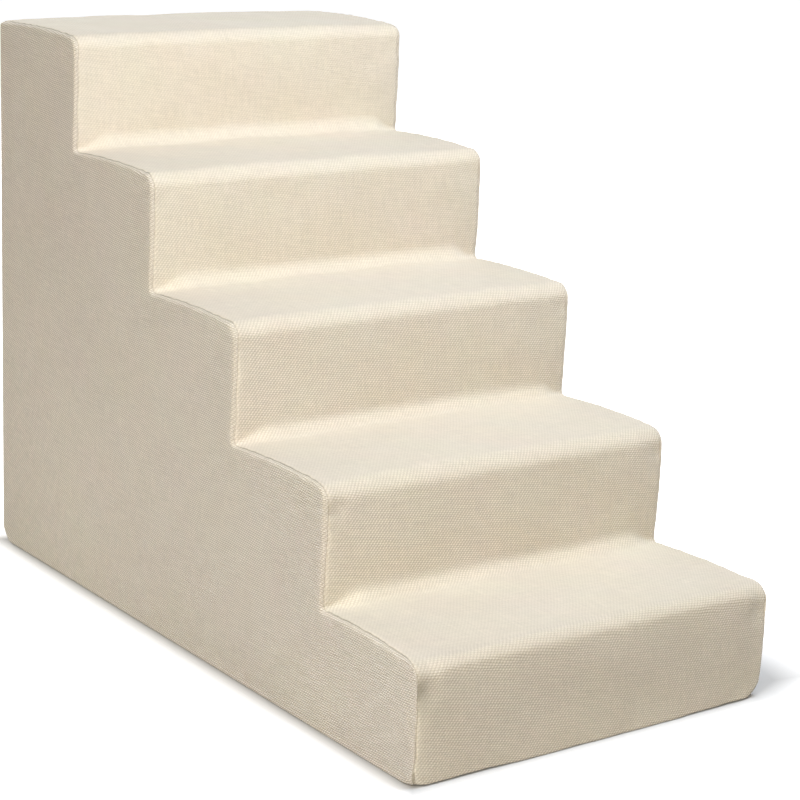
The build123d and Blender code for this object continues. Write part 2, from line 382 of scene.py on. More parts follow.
def nosing_ease(way, edge, strengths):
    """Spare cloth gathers at each nosing beside the seam: a small bump, and a dimple under it."""
    total = np.zeros(np.broadcast(way, edge).shape)
    for place, strength in zip(nosing_way, strengths):
        bump = bell(way, place, 5 * MM) * bell(edge, 5 * MM, 4 * MM)
        dimple = bell(way, place - 17 * MM, 11 * MM) * bell(edge, 7 * MM, 9 * MM)
        total = total + strength * (0.6 * MM * bump - 2.4 * MM * dimple)
    return total


def mirrored(values):
    """The same values on both sides of 0, which stands once in the middle."""
    return np.concatenate([-values[:0:-1], values])


# %% Lay out the step band
start_row = np.searchsorted(np.where(side_no == 0, profile[:, 1], 1), base_seam_z)
band_side = side_no[start_row:]
band_share = side_share[start_row:]
band_way = profile_length[start_row:]
side, share, way = band_side[:, None], band_share[:, None], band_way[:, None]
nosing_way = profile_length[(side_share == 0) & (side_no % 2 == 1)]
across = np.concatenate([ramps((0, 0.80, 16), (0.80, 0.93, 12)), 1 - np.geomspace(0.07, 0.0006, 18), [1.0]])
across = mirrored(across)
seam_place = seam_x + np.where(across > 0, seam_wobble(way, 21), seam_wobble(way, 22))
band_x = seam_place * across
edge_distance = seam_place - seam_place * np.abs(across)
rise = step_rise(side, share, way, band_x, edge_distance)
rise = rise + nosing_ease(way, edge_distance, strengths=[1.0, 0.75, 0.6, 0.5, 0.35])
# Away from the seam the cloth lies on the foam, so it can't sink past its own thickness.
rise = np.where(edge_distance > 3 * MM, np.maximum(rise, -cloth_thickness), rise)
tautness = 7 * MM * smooth_step(edge_distance, 3 * MM, 34 * MM)
band_yz = outline(stairs_way, 1, side, share, -rise, tautness)

# %% Turn the last rows over the back edge, down to the seam on the back
tail_rows = 8
tail = np.linspace(0, 1, tail_rows + 1)[1:, None]
tail_share = 1 - tail * (edge_level - back_seam_z) / edge_level
tail_rise = rise[-1:] * (1 - tail) - 1.2 * MM * smooth_step(tail, 0.75, 1)
tail_yz = outline(base_way, -1, 1, tail_share, -tail_rise, tautness[-1:])
all_x = np.concatenate([band_x, np.repeat(band_x[-1:], tail_rows, 0)])
band_points = np.concatenate([all_x[..., None], np.concatenate([band_yz, tail_yz])], -1)
full_way = np.concatenate([way, band_way[-1] + (edge_level - back_seam_z) * tail])

# %% Map the band, and note where its weave is pressed or sewn, and where shade is painted on it
# On a made-up cover the weft seldom runs quite straight, and here it falls to the right.
weft_skew, weft_bow, warp_lean = 0.15, 0.14, 0.07
weft_place = full_way + weft_skew * all_x - weft_bow * all_x**2
band_map = np.stack([all_x + warp_lean * full_way, weft_place], -1)
seam_nearness = np.concatenate([edge_distance, np.repeat(edge_distance[-1:], tail_rows, 0)])
seam_nearness = np.minimum(seam_nearness, full_way[-1] - full_way)


def painted_seam_shade(side, share):
    """How strong the painted shade in the seam groove is: most on the treads, least on the upper risers,
    which the light reaches.
    """
    middle = smooth_step(np.minimum(share, 1 - share), 0.0, 0.12)
    upper = np.where(side % 2 == 1, 0.35 + 0.45 * middle, 0.35 - 0.15 * middle)
    return np.where(side == 0, 0.5, upper)


# Painted shade along the seams of the band, with a fixed share on the rows over the back edge.
band_painted_seam_shade = np.concatenate([painted_seam_shade(side, share), np.full((tail_rows, 1), 0.35)]) + 0 * seam_nearness
# Paws press the weave of the treads flat, and the upper risers are drawn smoother than the lower.
side_pressed = np.array([0.0, 0.8, 0.0, 0.8, 0.1, 0.85, 0.4, 0.85, 0.65, 0.85])
near_end = smooth_step(band_share, 0.85, 1.0) * 0.5
near_start = smooth_step(1 - band_share, 0.85, 1.0) * 0.5
next_side = np.minimum(band_side + 1, len(side_pressed) - 1)
band_pressed = side_pressed[band_side] * (1 - near_end - near_start)
band_pressed = band_pressed + side_pressed[next_side] * near_end
band_pressed = band_pressed + side_pressed[np.maximum(band_side - 1, 0)] * near_start
band_pressed = np.concatenate([band_pressed, np.full(tail_rows, 0.3)])[:, None]
band_pressed = np.maximum(band_pressed, 0.6 * np.exp(-seam_nearness / (5 * MM)))
# Painted shade darkens the gathered cloth under the nosings beside the left seam, most under the lowest one.
left_end = smooth_step(-across, 0.1, 0.5)
beside = bell(seam_nearness, 0, 15 * MM) * left_end
band_painted_nosing_shade = 0 * seam_nearness
for place, strength in zip(nosing_way, [0.60, 0.20, 0.12, 0.06, 0.05]):
    below = bell(full_way, place - 19 * MM, 17 * MM)
    uneven = 0.9 + 0.1 * swells(full_way, seam_nearness, 9 * MM, 61)
    band_painted_nosing_shade = band_painted_nosing_shade + strength * below * beside * uneven
# Painted shade also darkens the lowest riser a little below its nosing, away from the seams.
painted_riser_shade = 0.11 * bell(full_way, nosing_way[0] - 45 * MM, 45 * MM)
band_painted_nosing_shade = np.maximum(band_painted_nosing_shade, painted_riser_shade * smooth_step(seam_nearness, 0, 20 * MM))
band_values = {"seam_distance": seam_nearness, "painted_seam_shade": band_painted_seam_shade}
band_values |= {"pressed_flat": band_pressed, "painted_nosing_shade": band_painted_nosing_shade}

# %% Build the step band
band_faces = grid_faces(*all_x.shape, flip=True)
step_band = make_mesh("step_band", wider_front(rounded_foot(band_points)), band_faces, band_map, band_values)
thicken(step_band, cloth_thickness)
print(f"step band: {all_x.shape[0]} rows of {all_x.shape[1]} points")

# %% [markdown]
# ## The side panels
# Each side panel is cut in the shape of the stairs, and its edge rolls over the corner of the foam
# to the seam. A flat face with a bevel would do, but the roll is what catches the light in the
# photograph. So the panel is one grid. Near the outline, a section is carried along it: out of the
# seam, round the roll and onto the flat side. Inside, straight threads of the grid run at 45
# degrees from the stairs to the floor or the back, and never cross, because height plus depth
# grows all the way on both.

# %% Lay out the section of the roll
roll_radius = 3.8 * MM
roll_reach = 9 * MM
roll_start = seam_x + 0.1 * MM
roll_angle = np.linspace(0, math.pi / 2, 9)
dive_angle = np.linspace(-math.pi / 2, 0, 5, endpoint=False)
dive_x = roll_start + (half_width - roll_radius - roll_start) * (1 + np.sin(dive_angle))
dive_in = seam_depth * (1 - np.cos(dive_angle))
flat_in = np.linspace(roll_radius, roll_reach, 4)[1:]
round_x = half_width - roll_radius * (1 - np.sin(roll_angle))
round_in = roll_radius * (1 - np.cos(roll_angle))
roll_x = np.concatenate([dive_x, round_x, np.full(len(flat_in), half_width)])
roll_in = np.concatenate([dive_in, round_in, flat_in])
roll_flat = way_length(np.stack([roll_x, roll_in], -1))
roll_flat = roll_flat - roll_flat[-1] + roll_reach


# %% Build the side panels
def side_panel(name, hand, seed):
    """The whole side panel as a grid: columns walk up the stairs, rows go from seam to seam.

    A row ends at the place on the floor or the back where height plus depth is the same.
    """
    side, share, fold = side_no[:, None], side_share[:, None], roll_in[None, :]
    lift = crown_height(side, share)
    line = outline(stairs_way, 1, side, share, roll_reach - lift)[:, 0].sum(1)
    floor_start = front_y + foot_setback
    back_level = back_y - roll_reach
    inner_y = np.clip(line - roll_reach, floor_start + roll_reach, back_level)
    inner_z = np.clip(line - back_level, roll_reach, edge_level - roll_reach)
    floor_share = (inner_y - floor_start - roll_reach) / (back_y - floor_start - 2 * roll_reach)
    back_share = (inner_z - roll_reach) / (edge_level - 2 * roll_reach)
    on_floor = line < back_y
    base_side = np.where(on_floor, 0, 1)[:, None]
    base_share = np.clip(np.where(on_floor, floor_share, back_share), 0, 1)[:, None]
    # The strip along the stairs, the strip along the floor and the back, and the flat part between.
    pull = seam_pull(profile_length, pull_seed)[:, None]
    strip_in = fold - lift + 0.6 * MM * pull * np.exp(-fold / (6 * MM))
    wobble = seam_wobble(profile_length, seed)[:, None]
    strip_x = np.minimum(roll_x + wobble * (1 - smooth_step(fold, 0, roll_radius)), half_width)
    low_x = np.broadcast_to(roll_x[::-1], strip_x.shape)
    step = np.linspace(0, 1, 46)[1:-1, None]
    inner_x = np.full((len(line), len(step)), half_width)
    x = np.concatenate([strip_x, inner_x, low_x], 1)

    def thread(strip_inset, low_inset):
        """Places across the panel: down the strip, straight on, and down the low strip."""
        strip = outline(stairs_way, 1, side, share, strip_inset)
        low = outline(base_way, -1, base_side, base_share, low_inset)
        return np.concatenate([strip, strip[:, -1:] * (1 - step) + low[:, :1] * step, low], 1)

    yz = thread(strip_in, fold[:, ::-1])
    flat = thread(roll_flat, roll_flat[::-1])

    def over_panel(section):
        """The section's values along both seams, and a far value on the flat part between."""
        strip = np.broadcast_to(section, strip_x.shape)
        return np.concatenate([strip, np.full(inner_x.shape, 50 * MM), strip[:, ::-1]], 1)

    calm = smooth_step(over_panel(roll_in), 0, 12 * MM)
    x = x + calm * 0.45 * MM * swells(yz[..., 0], yz[..., 1], 120 * MM, seed + 7)
    x = x + calm * 0.15 * MM * swells(yz[..., 0], yz[..., 1], 35 * MM, seed + 9)
    points = wider_front(rounded_foot(np.concatenate([hand * x[..., None], yz], -1)))
    # The corners of the cover are gathered at the floor, and stand a little off it.
    from_end = np.minimum(points[..., 1] - front_y, back_y - points[..., 1])
    gathered = 1 - smooth_step(from_end, 18 * MM, 40 * MM)
    points[..., 2] = np.maximum(points[..., 2], 1.1 * MM * gathered)
    # The weft is bowed: lowest ahead of the middle, a little higher in front and highest at the back.
    bow = 0.15 * (flat[..., 0] + 0.15) ** 2
    flat = np.stack([hand * flat[..., 0], flat[..., 1] - bow], -1)
    seam = over_panel(roll_flat - roll_flat[0])
    # The seam of a side panel gets the same painted shade as the band.
    values = {"seam_distance": seam, "painted_seam_shade": painted_seam_shade(side, share) + 0 * seam}
    values["pressed_flat"] = 0.6 * np.exp(-seam / (5 * MM))
    piece = make_mesh(name, points, grid_faces(*x.shape, flip=hand < 0), flat, values)
    return thicken(weld(piece, 0.02 * MM), cloth_thickness)


side_panel_right = side_panel("side_panel_right", 1, 21)
side_panel_left = side_panel("side_panel_left", -1, 22)
print("side panels:", len(side_panel_left.data.polygons), "faces each")

# %% [markdown]
# ## The back panels
# The back is two halves. A centre seam joins them below and above the opening of the zip, and along
# the opening each half is folded back. The halves are flat grids with a soft dive at every edge:
# an edge function serves all four sides, so no edge needs its own strip.

# %% Build the two halves of the back
zip_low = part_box("zip_lower_stops")[0].z
zip_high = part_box("zip_upper_stop")[1].z
opening_half = 6 * MM
seam_half = 0.3 * MM


def back_half(name, hand, seed):
    """Half of the back as a grid of heights and of shares from the middle to the side seam."""
    end = 3 * MM
    turns = [base_seam_z, zip_low - end, zip_low + end, zip_high - end, zip_high + end]
    heights = ramps(*zip(turns[:-1], turns[1:], (14, 12, 110, 12)))
    heights = np.concatenate([heights, np.linspace(zip_high + end, back_seam_z, 8)])[:, None]
    near_zip, near_side = np.geomspace(0.002, 0.05, 12) - 0.002, 1 - np.geomspace(0.06, 0.001, 12)
    share = np.concatenate([near_zip, ramps((0.05, 0.94, 40)), near_side, [1.0]])
    opening = smooth_step(heights, zip_low - 2 * MM, zip_low + 1 * MM)
    opening = opening * (1 - smooth_step(heights, zip_high - 1 * MM, zip_high + 2 * MM))
    inner = seam_half + (opening_half - seam_half) * opening
    x = inner + (seam_x - inner) * share
    out = 0.5 * MM * swells(x, heights, 110 * MM, seed) * smooth_step(x - inner, 0, 30 * MM)
    out = out + 0.35 * MM * swells(0 * x, heights, 18 * MM, seed + 2) * np.exp(-(x - inner) / (14 * MM))
    out = out - 0.5 * MM * seam_pull(heights, seed) * np.exp(-(seam_x - x) / (7 * MM))
    edges = np.broadcast_arrays(seam_x - x, x - inner, back_seam_z - heights, heights - base_seam_z)
    for edge, reach, depth in zip(edges, (2.2, 1.6, 2.2, 2.2), (1.5, 1.3, 1.3, 1.3)):
        out = out - dive_depth(edge, reach * MM, depth * MM)
    yz = outline(base_way, -1, 1, heights / edge_level, -out)
    points = rounded_foot(np.concatenate([hand * x[..., None], yz], -1))
    values = {"seam_distance": np.minimum.reduce(edges)}
    faces = grid_faces(*x.shape, flip=hand > 0)
    return thicken(make_mesh(name, points, faces, side_by_side(-hand * x, heights), values), cloth_thickness)


back_panel_right = back_half("back_panel_right", 1, 31)
back_panel_left = back_half("back_panel_left", -1, 37)
print("back panels:", len(back_panel_left.data.polygons), "faces each")

# %% [markdown]
# ## The base
# The bottom is a non-slip cloth: a plain woven ground with small rubbery dots. It turns up at the
# front and at the back to its seams. The dots are one mesh, and each is a low dome of few faces,
# because there are more than a thousand.

# %% Build the base cloth
base_lift = 0.6 * MM
base_across = np.concatenate([ramps((0, 0.97, 40)), 1 - np.geomspace(0.03, 0.001, 8), [1.0]])
base_across = mirrored(base_across) * seam_x
base_edge = seam_x - np.abs(base_across)
base_sink = base_lift + dive_depth(base_edge, 2.2 * MM, 1.2 * MM)
front_share = np.linspace(base_seam_z / (riser_height - tread_crown), 0, 7, endpoint=False)[:, None]
front_rows = outline(stairs_way, 1, 0, front_share, base_sink)
floor_side, floor_share = samples(base_way[:2], fine=4 * MM, coarse=9 * MM, arc_points=9)
floor_rows = outline(base_way, -1, floor_side[:, None], floor_share[:, None], base_sink)
back_share = np.linspace(0, base_seam_z / edge_level, 7)[1:, None]
back_rows = outline(base_way, -1, 1, back_share, base_sink)
base_yz = np.concatenate([front_rows, floor_rows, back_rows])
base_x = np.broadcast_to(base_across, base_yz.shape[:2])
base_cloth = make_mesh(
    "base_cloth",
    wider_front(rounded_foot(np.concatenate([base_x[..., None], base_yz], -1))),
    grid_faces(*base_x.shape, flip=True),
    np.stack([base_x, base_yz[..., 0]], -1),
    {"seam_distance": np.broadcast_to(base_edge, base_x.shape)},
)
thicken(base_cloth, 0.8 * MM)


# %% Scatter the grip dots
def ring_faces(rings, sides):
    """Quads between closed rings of points that are stored ring after ring."""
    turn = np.arange(sides)
    step = (turn + 1) % sides
    row = np.arange(rings - 1)[:, None] * sides
    quads = np.stack([row + turn, row + step, row + sides + step, row + sides + turn], -1)
    return quads.reshape(-1, 4).tolist()


def scatter(name, places, pattern, faces):
    """One mesh of many small things: the pattern's points and faces again at every place."""
    shifts = range(0, len(places) * len(pattern), len(pattern))
    all_faces = [[corner + shift for corner in face] for shift in shifts for face in faces]
    return make_mesh(name, places[:, None] + pattern, all_faces)


def low_dome(radius, height, sides=8):
    """Points and faces of a low dome that hangs down: two rings and a tip on a quarter ellipse."""
    angle = np.arange(sides) * 2 * math.pi / sides
    tilt = np.array([0.0, math.pi / 4])[:, None]
    reach = radius * np.cos(tilt)
    rings = side_by_side(reach * np.cos(angle), reach * np.sin(angle), -height * np.sin(tilt))
    walls = [face[::-1] for face in ring_faces(2, sides)]
    cap = [[sides + turn, 2 * sides, sides + (turn + 1) % sides] for turn in range(sides)]
    return np.concatenate([rings.reshape(-1, 3), [[0, 0, -height]]]), walls + cap


dot_row = np.arange(-25, 26)[None, :]
dot_x = np.arange(-12, 13)[:, None] * 15 * MM + 7.5 * MM * ((dot_row + 1) % 2 - 0.5)
dot_y = dot_row * 14.6 * MM + (front_y + back_y) / 2
dot_places = side_by_side(dot_x, dot_y, base_lift).reshape(-1, 3)
grip_dots = scatter("grip_dots", dot_places, *low_dome(1.5 * MM, base_lift))
print(f"{len(dot_places)} grip dots")

# %% [markdown]
# ## The zip
# The zip has two woven tapes and two nylon coils. A coil is a wire wound as a flat helix, so each row
# is a tube along a helix, worked out as one array. The stops, the slider and its tab come from the
# model. The slider and the tab get softly broken edges, on copies that stand in for them.


# %% Wind the coils
def coil_row(name, node, phase, turns_per_metre=385, wire=0.36 * MM):
    """A tube along a flat helix that fills the node's box: the helix is an ellipse across the box."""
    low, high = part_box(node)
    climb = high.z - low.z - 2 * wire
    turns = int(climb * turns_per_metre)
    angle = np.linspace(0, turns * 2 * math.pi, turns * 12 + 1)
    outward = side_by_side(np.cos(angle + phase), np.sin(angle + phase), 0.0)
    centre = side_by_side(
        (low.x + high.x) / 2 + ((high.x - low.x) / 2 - wire) * outward[:, 0],
        (low.y + high.y) / 2 + ((high.y - low.y) / 2 - wire) * outward[:, 1],
        low.z + wire + climb * angle / angle[-1],
    )
    tangent = np.gradient(centre, axis=0)
    tangent /= np.linalg.norm(tangent, axis=1)[:, None]
    outward = outward - tangent * (outward * tangent).sum(1)[:, None]
    outward /= np.linalg.norm(outward, axis=1)[:, None]
    across_wire = np.cross(tangent, outward)
    turn = np.linspace(0, 2 * math.pi, 7)[:, None]
    ring = centre[:, None] + wire * (np.cos(turn) * outward[:, None] + np.sin(turn) * across_wire[:, None])
    return weld(make_mesh(name, ring, grid_faces(*ring.shape[:2], flip=True)), 0.001 * MM)


coil_left = coil_row("coil_left", "zip_coil_left", 0.0)
coil_right = coil_row("coil_right", "zip_coil_right", math.pi)


# %% Weave the tapes
def zip_tape(name, node, hand):
    """A tape as a grid from its edge at the coil to its far edge, with a thin ridge along the coil."""
    low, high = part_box(node)
    x = np.linspace(low.x, high.x, 15)[None, :]
    z = np.linspace(low.z, high.z, 90)[:, None]
    from_coil = x - low.x if hand > 0 else high.x - x
    ridge = 0.12 * MM * bell(from_coil, 4.2 * MM, 0.7 * MM)
    y = high.y + ridge + 0.08 * MM * swells(x, z, 25 * MM, 51 + hand)
    faces = grid_faces(*y.shape, flip=True)
    return thicken(make_mesh(name, side_by_side(x, y, z), faces, side_by_side(x, z)), 0.6 * MM)


tape_left = zip_tape("tape_left", "zip_tape_left", -1)
tape_right = zip_tape("tape_right", "zip_tape_right", 1)


# %% Break the edges of the slider and the tab
def loose_copy(name, node):
    """A copy of a node of the model, free of its body, with its points merged."""
    piece = frame["nodes"][node].copy()
    piece.data = piece.data.copy()
    piece.name = name
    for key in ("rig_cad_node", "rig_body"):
        if key in piece:
            del piece[key]
    piece.parent = None
    bpy.context.scene.collection.objects.link(piece)
    return weld(piece, 0.002 * MM)


def broken_edges(name, node, width):
    """A copy of a metal node with its sharp edges bevelled."""
    piece = loose_copy(name, node)
    bevel = piece.modifiers.new("broken edges", "BEVEL")
    bevel.width = width
    bevel.segments = 2
    bevel.limit_method = "ANGLE"
    bevel.angle_limit = math.radians(50)
    return piece


slider = broken_edges("slider_body", "zip_slider", 0.18 * MM)
tab = broken_edges("slider_tab", "zip_pull_tab", 0.15 * MM)


# %% Sew the stitches along the zip
def stitch(length, thickness):
    """Points and faces of a small raised stitch up the back: a bar of five rings with six sides.

    The middle ring stands proud of the cloth, and the end rings lie below its surface.
    """
    along = np.array([-0.5, -0.3, 0.0, 0.3, 0.5])[:, None] * length
    height = np.array([-0.9, 0.1, 0.45, 0.1, -0.9])[:, None] * thickness
    size = np.array([0.5, 0.9, 1.0, 0.9, 0.5])[:, None] * thickness / 2
    angle = np.arange(6) * math.pi / 3
    rings = side_by_side(-size * np.cos(angle), height + size * np.sin(angle), along)
    first_end, last_end = [5, 4, 3, 2, 1, 0], [24, 25, 26, 27, 28, 29]
    return rings.reshape(-1, 3), ring_faces(5, 6) + [first_end, last_end]


stitch_z = np.arange(zip_low - 2 * MM, zip_high + 2 * MM, 3.2 * MM)
stitch_x = np.array([[-1], [1]]) * (opening_half + 3.2 * MM)
stitch_places = side_by_side(stitch_x, back_y + 0.1 * MM, stitch_z).reshape(-1, 3)
zip_stitches = scatter("zip_stitches", stitch_places, *stitch(2.4 * MM, 0.55 * MM))
print(f"{len(stitch_places)} stitches along the zip")

# %% [markdown]
# ## The lowest foam slab
# The foam stays as the model has it, but for the lowest slab: its four lower corners are cut round,
# as the cover shows. A copy with more points takes its place, and the same function rounds it.


# %% Round the lower corners of the lowest slab
def rounded_slab(name, node):
    """A copy of the slab whose upright edges are split up and drawn in near the floor."""
    piece = loose_copy(name, node)
    body = bmesh.new()
    body.from_mesh(piece.data)
    cuts = [((0, 0, height * MM), (0, 0, 1)) for height in (2, 5, 9, 14, 20, 26)]
    cuts += [((hand * (half_width - 26 * MM), 0, 0), (1, 0, 0)) for hand in (-1, 1)]
    for place, normal in cuts:
        everything = body.verts[:] + body.edges[:] + body.faces[:]
        bmesh.ops.bisect_plane(body, geom=everything, plane_co=place, plane_no=normal)
    bmesh.ops.triangulate(body, faces=body.faces)
    body.to_mesh(piece.data)
    body.free()
    places = np.zeros(len(piece.data.vertices) * 3, dtype=np.float32)
    piece.data.vertices.foreach_get("co", places)
    places = rounded_foot(places.reshape(-1, 3).astype(float), 30 * MM)
    piece.data.vertices.foreach_set("co", places.astype(np.float32).ravel())
    piece.data.update()
    return piece


lowest_foam = rounded_slab("lowest_foam", "foam_slab_1")

# %% [markdown]
# ## Materials
# The cover is a coarse plain weave. A picture of cloth is not used: the weave is worked out in the
# shader from the cloth map, which is in metres, so its threads have their real pitch on every
# panel. The weave is a node group, because the cover, the base and the tapes all use it with their
# own pitch. A few helpers make the node trees short.


# %% Define helpers for node trees
def feed(socket, value):
    """Links a socket to a signal, or sets it to a plain value."""
    if isinstance(value, Signal):
        value.tree.links.new(value.socket, socket)
    else:
        socket.default_value = value


def feed_all(node, **values):
    """Feeds the inputs of a node by name, where an underscore stands for a space."""
    for label, value in values.items():
        feed(node.inputs[label.replace("_", " ")], value)
    return node


def maths(operation, *values, clamp=False):
    """A maths node with its inputs fed in order. At least one of them is a signal."""
    tree = next(value.tree for value in values if isinstance(value, Signal))
    node = tree.nodes.new("ShaderNodeMath")
    node.operation = operation
    node.use_clamp = clamp
    for socket, value in zip(node.inputs, values):
        feed(socket, value)
    return Signal(node.outputs[0])


class Signal:
    """An output in a node tree. A sign such as + between it and a value puts down a maths node."""

    def __init__(self, socket):
        self.socket = socket
        self.tree = socket.id_data

    def __add__(self, other):
        return maths("ADD", self, other)

    def __sub__(self, other):
        return maths("SUBTRACT", self, other)

    def __mul__(self, other):
        return maths("MULTIPLY", self, other)

    def __truediv__(self, other):
        return maths("DIVIDE", self, other)


def vector_maths(operation, first, second):
    """A vector maths node of two vectors, or for SCALE of a vector and a number."""
    node = first.tree.nodes.new("ShaderNodeVectorMath")
    node.operation = operation
    feed(node.inputs[0], first)
    feed(node.inputs["Scale" if operation == "SCALE" else 1], second)
    return Signal(node.outputs[0])


def parts_of(vector):
    """The x, y and z of a vector."""
    node = vector.tree.nodes.new("ShaderNodeSeparateXYZ")
    feed(node.inputs[0], vector)
    return [Signal(output) for output in node.outputs]


def noise(place, scale, detail=2.0, roughness=0.5, stretch=None, output="Fac"):
    """A noise texture at a place, with an optional stretch along each axis."""
    if stretch is not None:
        place = vector_maths("MULTIPLY", place, stretch)
    node = place.tree.nodes.new("ShaderNodeTexNoise")
    feed_all(node, Vector=place, Scale=scale, Detail=detail, Roughness=roughness)
    return Signal(node.outputs[output])


def mix_colour(tree, share, first, second):
    """First colour at share 0, second at share 1."""
    node = tree.nodes.new("ShaderNodeMix")
    node.data_type = "RGBA"
    for index, value in ((0, share), (6, first), (7, second)):
        feed(node.inputs[index], value)
    return Signal(node.outputs[2])


def mesh_value(tree, name):
    """The number that the mesh holds under a name, or 0 where it holds none."""
    node = tree.nodes.new("ShaderNodeAttribute")
    node.attribute_name = name
    return Signal(node.outputs["Fac"])


def source(tree, kind, output):
    """An output of a node that needs no input."""
    return Signal(tree.nodes.new(kind).outputs[output])


def new_material(name, roughness, sheen=0.0, metallic=0.0):
    """A material whose shader has its plain values set on its own sockets."""
    material = bpy.data.materials.new(name)
    material.use_nodes = True
    shader = material.node_tree.nodes["Principled BSDF"]
    feed_all(shader, Roughness=roughness, Metallic=metallic, Sheen_Weight=sheen, Specular_IOR_Level=0.3)
    return material, material.node_tree, shader


def finish_material(shader, colour, height, bump):
    """Gives the shader its colour, and a bump of this depth in metres."""
    relief = feed_all(height.tree.nodes.new("ShaderNodeBump"), Strength=1.0, Distance=bump, Height=height)
    feed_all(shader, Base_Color=colour, Normal=Signal(relief.outputs[0]))


# %% Weave group
def new_group(name, inputs, outputs):
    """A shader node group: its inputs are numbers by name, but None is a vector."""
    tree = bpy.data.node_groups.new(name, "ShaderNodeTree")
    for label, value in inputs.items():
        kind = "NodeSocketVector" if value is None else "NodeSocketFloat"
        socket = tree.interface.new_socket(label, in_out="INPUT", socket_type=kind)
        if value is not None:
            socket.default_value = value
    for label in outputs:
        tree.interface.new_socket(label, in_out="OUTPUT", socket_type="NodeSocketFloat")
    given = tree.nodes.new("NodeGroupInput")
    return tree, [Signal(given.outputs[label]) for label in inputs], tree.nodes.new("NodeGroupOutput")


def build_weave():
    """Plain weave: the product of two cosines says which thread is on top at each crossing.

    The product of two sines added to it slants every float along the twist of its yarn. A
    thread's round profile times its share on top gives its height, and the higher thread wins.
    The furrows between the weft rows take a share of both, as a cosine of twice the rate.
    """
    inputs = {"Place": None, "Warp pitch": 2 * MM, "Weft pitch": 2 * MM, "Uneven": 0.5 * MM}
    inputs |= {"Weft height": 0.7, "Slant": 0.65, "Row share": 0.38}
    tree, given, result = new_group("plain weave", inputs, ["Height", "Warp", "Tone"])
    place, warp_pitch, weft_pitch, uneven, weft_height, slant, row_share = given
    drift = vector_maths("SUBTRACT", noise(place, 55.0, 3.0, output="Color"), (0.5, 0.5, 0.5))
    moved = vector_maths("ADD", place, vector_maths("SCALE", drift, uneven * 4.0))
    x, y, _ = parts_of(moved)
    u, v = x / warp_pitch, y / weft_pitch
    turn_u, turn_v = u * math.pi, v * math.pi
    twist = maths("SINE", turn_u) * maths("SINE", turn_v)
    checker = maths("COSINE", turn_u) * maths("COSINE", turn_v) + twist * slant
    rows = maths("COSINE", turn_v * 2.0) * 0.5 + 0.5

    def thread_profile(place):
        """Height of a round thread over its width: 1 on its line, 0 between two threads."""
        off = (place - maths("ROUND", place)) * 1.9
        return maths("SQRT", maths("SUBTRACT", 1.0, off * off, clamp=True))

    warp = thread_profile(u) * maths("MULTIPLY_ADD", checker, 0.8, 0.5, clamp=True)
    weft = thread_profile(v) * maths("MULTIPLY_ADD", checker, -0.8, 0.5, clamp=True) * weft_height
    rest = maths("SUBTRACT", 1.0, row_share)
    height = maths("MAXIMUM", warp, weft) * rest + rows * row_share
    along_warp = noise(moved, 1.0, stretch=(520.0, 45.0, 1.0))
    along_weft = noise(moved, 1.0, stretch=(45.0, 400.0, 1.0))
    tone = (along_warp + along_weft) * 0.5
    height = height + noise(moved, 2600.0, 2.0, 0.6) * 0.25 + tone * 0.5
    feed_all(result, Height=height, Warp=warp * rest + rows * row_share, Tone=tone)
    return tree


weave_group = build_weave()


# %% Cover cloth
def woven_material(name, light, deep, warp_pitch, weft_pitch, uneven, bump, row_share=0.38, seams=True):
    """Cloth: thread colours from the weave, faint blotches, painted shade at the seams and under the nosings,
    and a bump from its height.

    The pitches, the unevenness and the bump are in millimetres.
    """
    material, tree, shader = new_material(name, 0.92, sheen=0.12)
    cloth_map = tree.nodes.new("ShaderNodeUVMap")
    cloth_map.uv_map = "cloth"
    place = Signal(cloth_map.outputs[0])
    weave = tree.nodes.new("ShaderNodeGroup")
    weave.node_tree = weave_group
    feed_all(weave, Place=place, Warp_pitch=warp_pitch * MM, Weft_pitch=weft_pitch * MM)
    feed_all(weave, Uneven=uneven * MM, Row_share=row_share)
    height, warp, tone = [Signal(output) for output in weave.outputs]
    crisp = maths("SUBTRACT", 1.0, mesh_value(tree, "pressed_flat"), clamp=True)
    middle_share = 0.42
    warp_share = maths("MULTIPLY_ADD", warp - middle_share, crisp, middle_share, clamp=True)
    colour = mix_colour(tree, warp_share, (*deep, 1), (*light, 1))
    colour = vector_maths("SCALE", colour, tone * 0.36 + 0.80)
    blotch = noise(place, 14.0, 2.0, 0.6, output="Color")
    colour = vector_maths("MULTIPLY", colour, mix_colour(tree, 0.05, (1.0, 1.0, 1.0, 1), blotch))
    if seams:
        near = tree.nodes.new("ShaderNodeMapRange")
        near.interpolation_type = "SMOOTHSTEP"
        feed_all(near, Value=mesh_value(tree, "seam_distance"), To_Min=1.0, To_Max=0.0)
        feed_all(near, From_Min=0.2 * MM, From_Max=1.3 * MM)
        # Painted shade: the cloth darkens into the seam groove, by the mesh's share.
        dark = mesh_value(tree, "painted_seam_shade") * Signal(near.outputs[0])
        colour = mix_colour(tree, dark, colour, (0.16, 0.13, 0.075, 1))
        # Painted shade under the nosings and on the lowest riser.
        colour = mix_colour(tree, mesh_value(tree, "painted_nosing_shade"), colour, (0.20, 0.17, 0.12, 1))
    finish_material(shader, colour, height * crisp, bump * MM)
    return material


cover_material = woven_material(
    "cream plain weave", (0.93, 0.85, 0.72), (0.53, 0.45, 0.34), 1.60, 2.12, 0.40, 0.80
)
# The side panels get a copy of the cover cloth with painted light: more contrast and stronger weft rows, as
# the light rakes them. The real cloth is the same.
side_painted_light_material = woven_material(
    "cream plain weave side, painted light", (0.98, 0.90, 0.77), (0.48, 0.40, 0.30), 1.60, 2.12, 0.40, 1.1, row_share=0.6
)
base_material = woven_material(
    "pale grey base weave", (0.66, 0.62, 0.55), (0.46, 0.43, 0.38), 0.9, 0.9, 0.2, 0.2
)
tape_material = woven_material(
    "cream zip tape", (0.80, 0.73, 0.60), (0.62, 0.55, 0.44), 0.7, 0.5, 0.1, 0.12, seams=False
)


